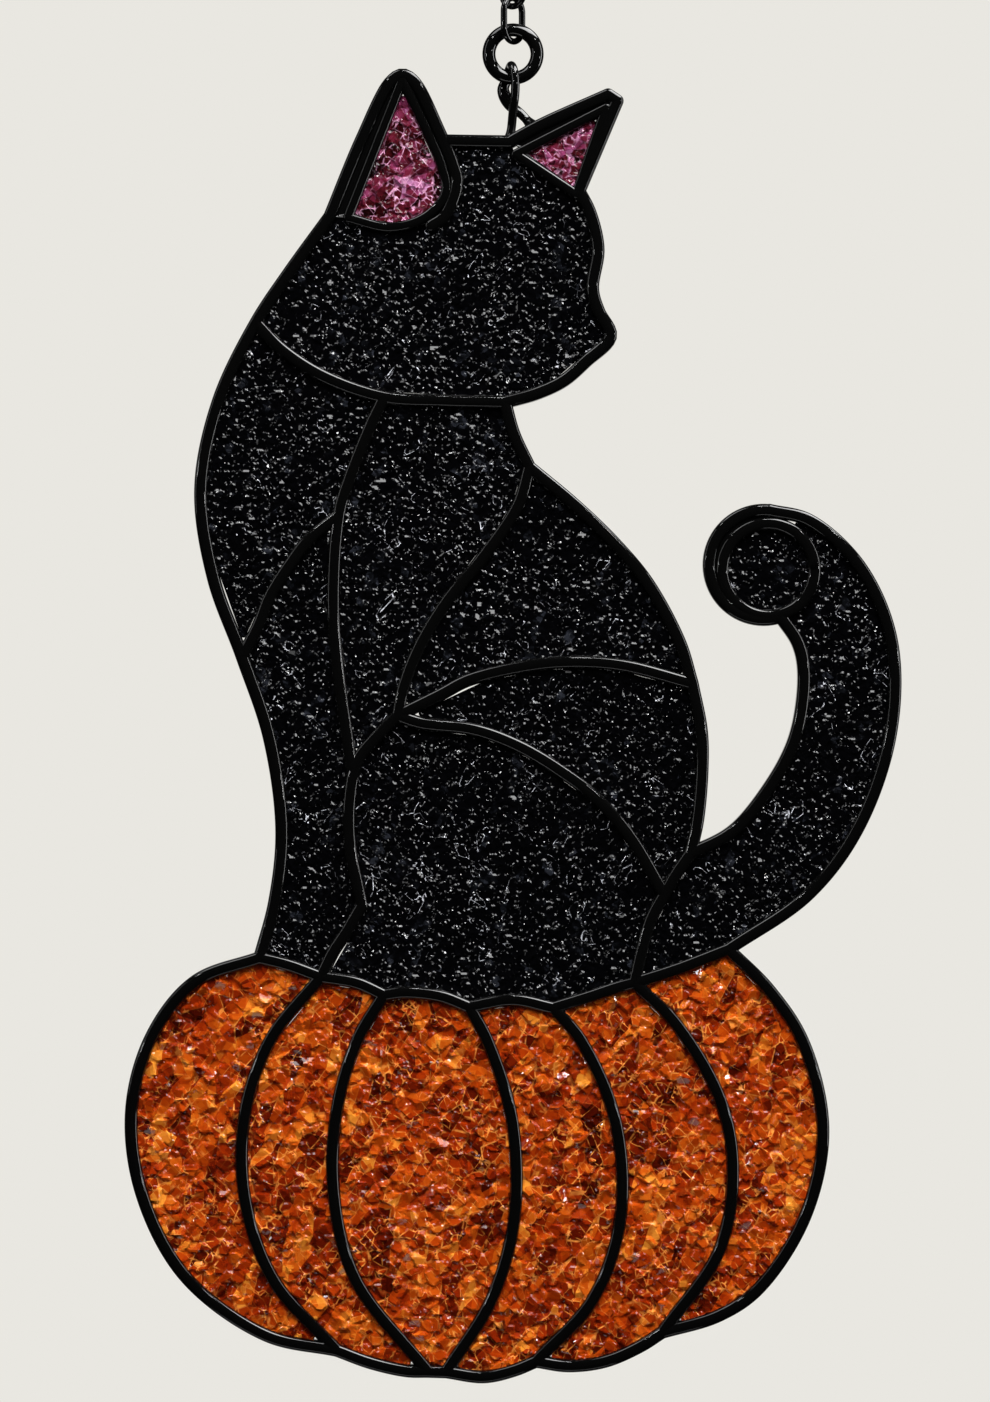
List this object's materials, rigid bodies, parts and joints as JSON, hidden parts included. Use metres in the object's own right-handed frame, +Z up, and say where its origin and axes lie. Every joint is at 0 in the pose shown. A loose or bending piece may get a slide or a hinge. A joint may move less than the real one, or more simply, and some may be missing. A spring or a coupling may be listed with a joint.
{
  "type": "crushed glass suncatcher",
  "caption": "Flat hanging suncatcher: a black cat sitting on an orange pumpkin, crushed glass in a black frame, with a wire loop, a ring and a short chain.",
  "frame": {"origin": "top of the end ring's eye, where a hook or nail carries the whole piece", "axes": "+Z up along the chain, +Y to the back, +X to the right of someone who looks at the front"},
  "size_m": [0.1552, 0.007, 0.3137],
  "materials": {
    "came_black": "glossy black enamel",
    "chain_black": "glossy black enamel",
    "glass_black": "crushed glass in clear resin",
    "glass_orange": "crushed glass in clear resin",
    "glass_pink": "crushed glass in clear resin"
  },
  "bodies": {
    "root": {"came_frame": "came_black", "glass_head": "glass_black", "glass_breast": "glass_black", "glass_foreleg": "glass_black", "glass_chest": "glass_black", "glass_back": "glass_black", "glass_flank": "glass_black", "glass_haunch": "glass_black", "glass_tail": "glass_black", "glass_tail_curl": "glass_black", "glass_left_ear": "glass_pink", "glass_right_ear": "glass_pink", "glass_pumpkin_1": "glass_orange", "glass_pumpkin_2": "glass_orange", "glass_pumpkin_3": "glass_orange", "glass_pumpkin_4": "glass_orange", "glass_pumpkin_5": "glass_orange", "glass_pumpkin_6": "glass_orange", "hanging_loop": "chain_black", "hanging_ring": "chain_black", "chain_link_1": "chain_black", "chain_link_2": "chain_black", "chain_link_3": "chain_black", "chain_link_4": "chain_black", "chain_link_5": "chain_black", "end_ring": "chain_black"}
  },
  "joints": []
}
